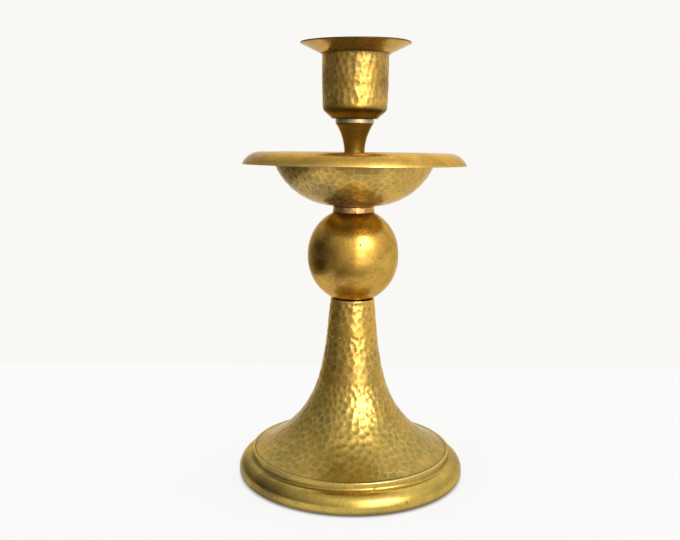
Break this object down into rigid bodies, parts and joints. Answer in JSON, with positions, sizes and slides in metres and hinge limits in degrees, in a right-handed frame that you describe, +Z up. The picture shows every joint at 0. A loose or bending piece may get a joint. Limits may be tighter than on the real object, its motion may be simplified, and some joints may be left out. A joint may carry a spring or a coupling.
{
  "type": "candlestick",
  "caption": "Single candlestick with a stepped round foot, hammered trumpet base, ball, wide drip pan and a flanged hammered candle cup, all in aged brass.",
  "frame": {"origin": "centre of the circle on which the foot rests, at table height", "axes": "+Z up along the candlestick's axis, -Y towards the front; the piece is the same all round but for the screw's slot"},
  "size_m": [0.092, 0.092, 0.174],
  "materials": {
    "hammered_brass": "hammered sheet brass with a brown-olive patina, bright on the ridges",
    "pan_brass": "sheet brass, bowl hammered, rim smooth and satin",
    "socket_brass": "hammered brass cup with a smooth flange",
    "ball_brass": "smooth aged brass, half polished, a few small pits",
    "spun_brass": "spun brass, satin polished, tarnished in the hollow",
    "turned_brass": "lathe-turned brass with fine rings, brown patina",
    "soft_solder": "dull silvery soft solder",
    "steel": "plain zinc-grey steel"
  },
  "bodies": {
    "root": {"foot_ring": "spun_brass", "base_skirt": "hammered_brass", "foot_solder_seam": "soft_solder", "clamp_disc": "steel", "spring_washer": "steel", "tie_rod_nut": "steel", "tie_rod": "steel", "ball_lower_half": "ball_brass", "ball_upper_half": "ball_brass", "pan_collar": "turned_brass", "drip_pan": "pan_brass", "neck_stem": "turned_brass", "socket_seat_ring": "soft_solder", "candle_socket": "socket_brass", "socket_screw": "steel"}
  },
  "joints": []
}
